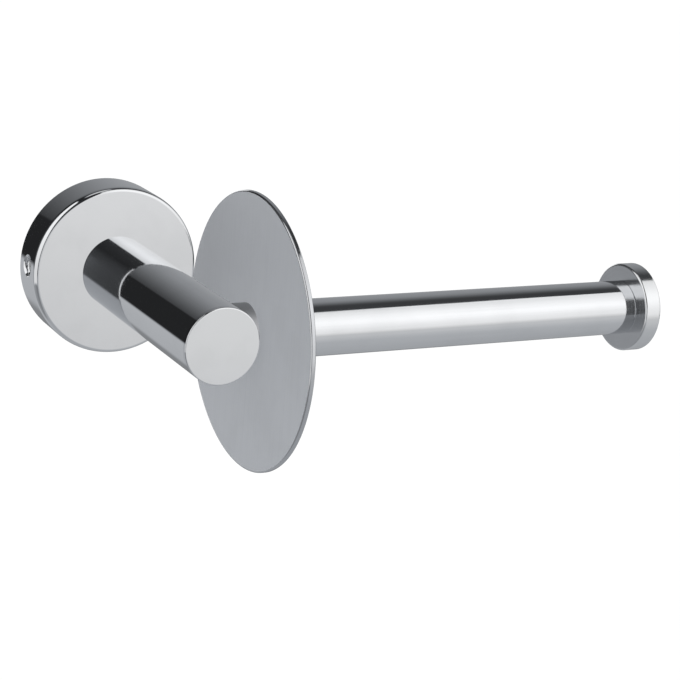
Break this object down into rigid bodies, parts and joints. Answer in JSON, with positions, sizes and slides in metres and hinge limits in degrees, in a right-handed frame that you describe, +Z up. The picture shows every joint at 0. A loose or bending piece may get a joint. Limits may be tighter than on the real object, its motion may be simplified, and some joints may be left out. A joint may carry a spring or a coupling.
{
  "type": "toilet paper holder",
  "caption": "Wall-mounted toilet paper holder: a round flange over a hidden bracket, a straight arm, and an open roll bar with a guard disc and an end knob.",
  "frame": {"origin": "centre of the wall bracket's back face, where the arm's axis meets the wall", "axes": "+Y into the wall, so the arm leaves the wall along -Y; +X along the roll bar, from the arm to the knob; +Z up"},
  "size_m": [0.1668, 0.1403, 0.0764],
  "materials": {
    "polished_steel": "mirror-polished stainless steel with a faint grain",
    "machined_steel": "machined or pressed steel, satin",
    "zinc_plated_steel": "bright zinc plate",
    "set_screw_steel": "plain hardened stainless steel"
  },
  "bodies": {
    "bracket": {"wall_bracket": "machined_steel", "wall_screw_upper": "zinc_plated_steel", "wall_screw_lower": "zinc_plated_steel"},
    "holder": {"flange_cup": "polished_steel", "set_screw_boss": "machined_steel", "arm_tube": "polished_steel", "arm_end_cap": "polished_steel", "arm_base_plug": "machined_steel", "arm_bolt_washer": "zinc_plated_steel", "arm_bolt": "zinc_plated_steel", "cross_block": "machined_steel", "bar_stud": "zinc_plated_steel", "saddle_collar": "polished_steel", "guard_disc": "polished_steel", "bar_tube": "polished_steel", "bar_inner_plug": "machined_steel", "bar_outer_plug": "machined_steel", "knob_stud": "zinc_plated_steel", "end_knob": "polished_steel"},
    "grub_screw": {"set_screw": "set_screw_steel"}
  },
  "joints": [
    {"name": "holder_slide_off", "type": "slide", "parent": "bracket", "child": "holder", "axis": [0, -1, 0], "range_m": [0, 0.02]},
    {"name": "set_screw_travel", "type": "slide", "parent": "holder", "child": "grub_screw", "axis": [-0.999, 0, 0.0436], "range_m": [0, 0.003]}
  ]
}
